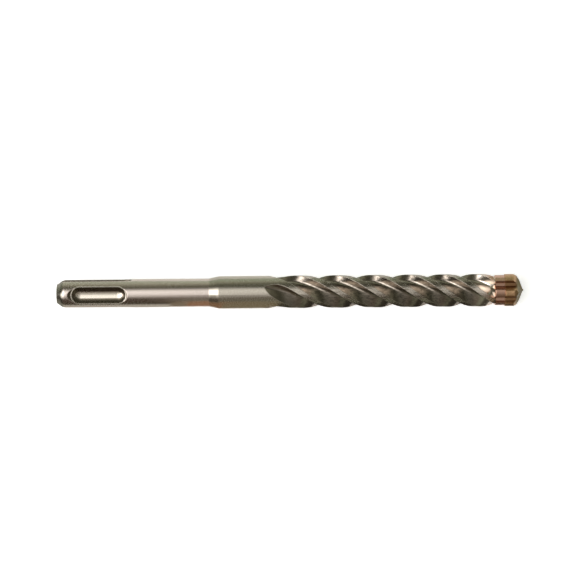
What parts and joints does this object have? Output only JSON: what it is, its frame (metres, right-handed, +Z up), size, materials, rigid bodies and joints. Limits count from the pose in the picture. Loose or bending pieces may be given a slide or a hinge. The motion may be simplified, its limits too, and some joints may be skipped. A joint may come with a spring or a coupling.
{
  "type": "slotted-shank hammer drill bit",
  "caption": "Masonry drill bit with a slotted push-fit hammer shank, helical flutes and a brazed cross-cutter carbide head.",
  "frame": {"origin": "centre of the struck end face, on the tool's axis", "axes": "+X along the axis from the struck end face to the drill point; +Z up, with the tool lying on the head flat between a narrow and a wide cutter; +Y completes a right-handed frame"},
  "size_m": [0.165, 0.0114, 0.0114],
  "materials": {
    "alloy_steel": "satin",
    "sintered_carbide": "fine matt"
  },
  "bodies": {
    "root": {"steel_body": "alloy_steel", "carbide_head": "sintered_carbide"}
  },
  "joints": []
}
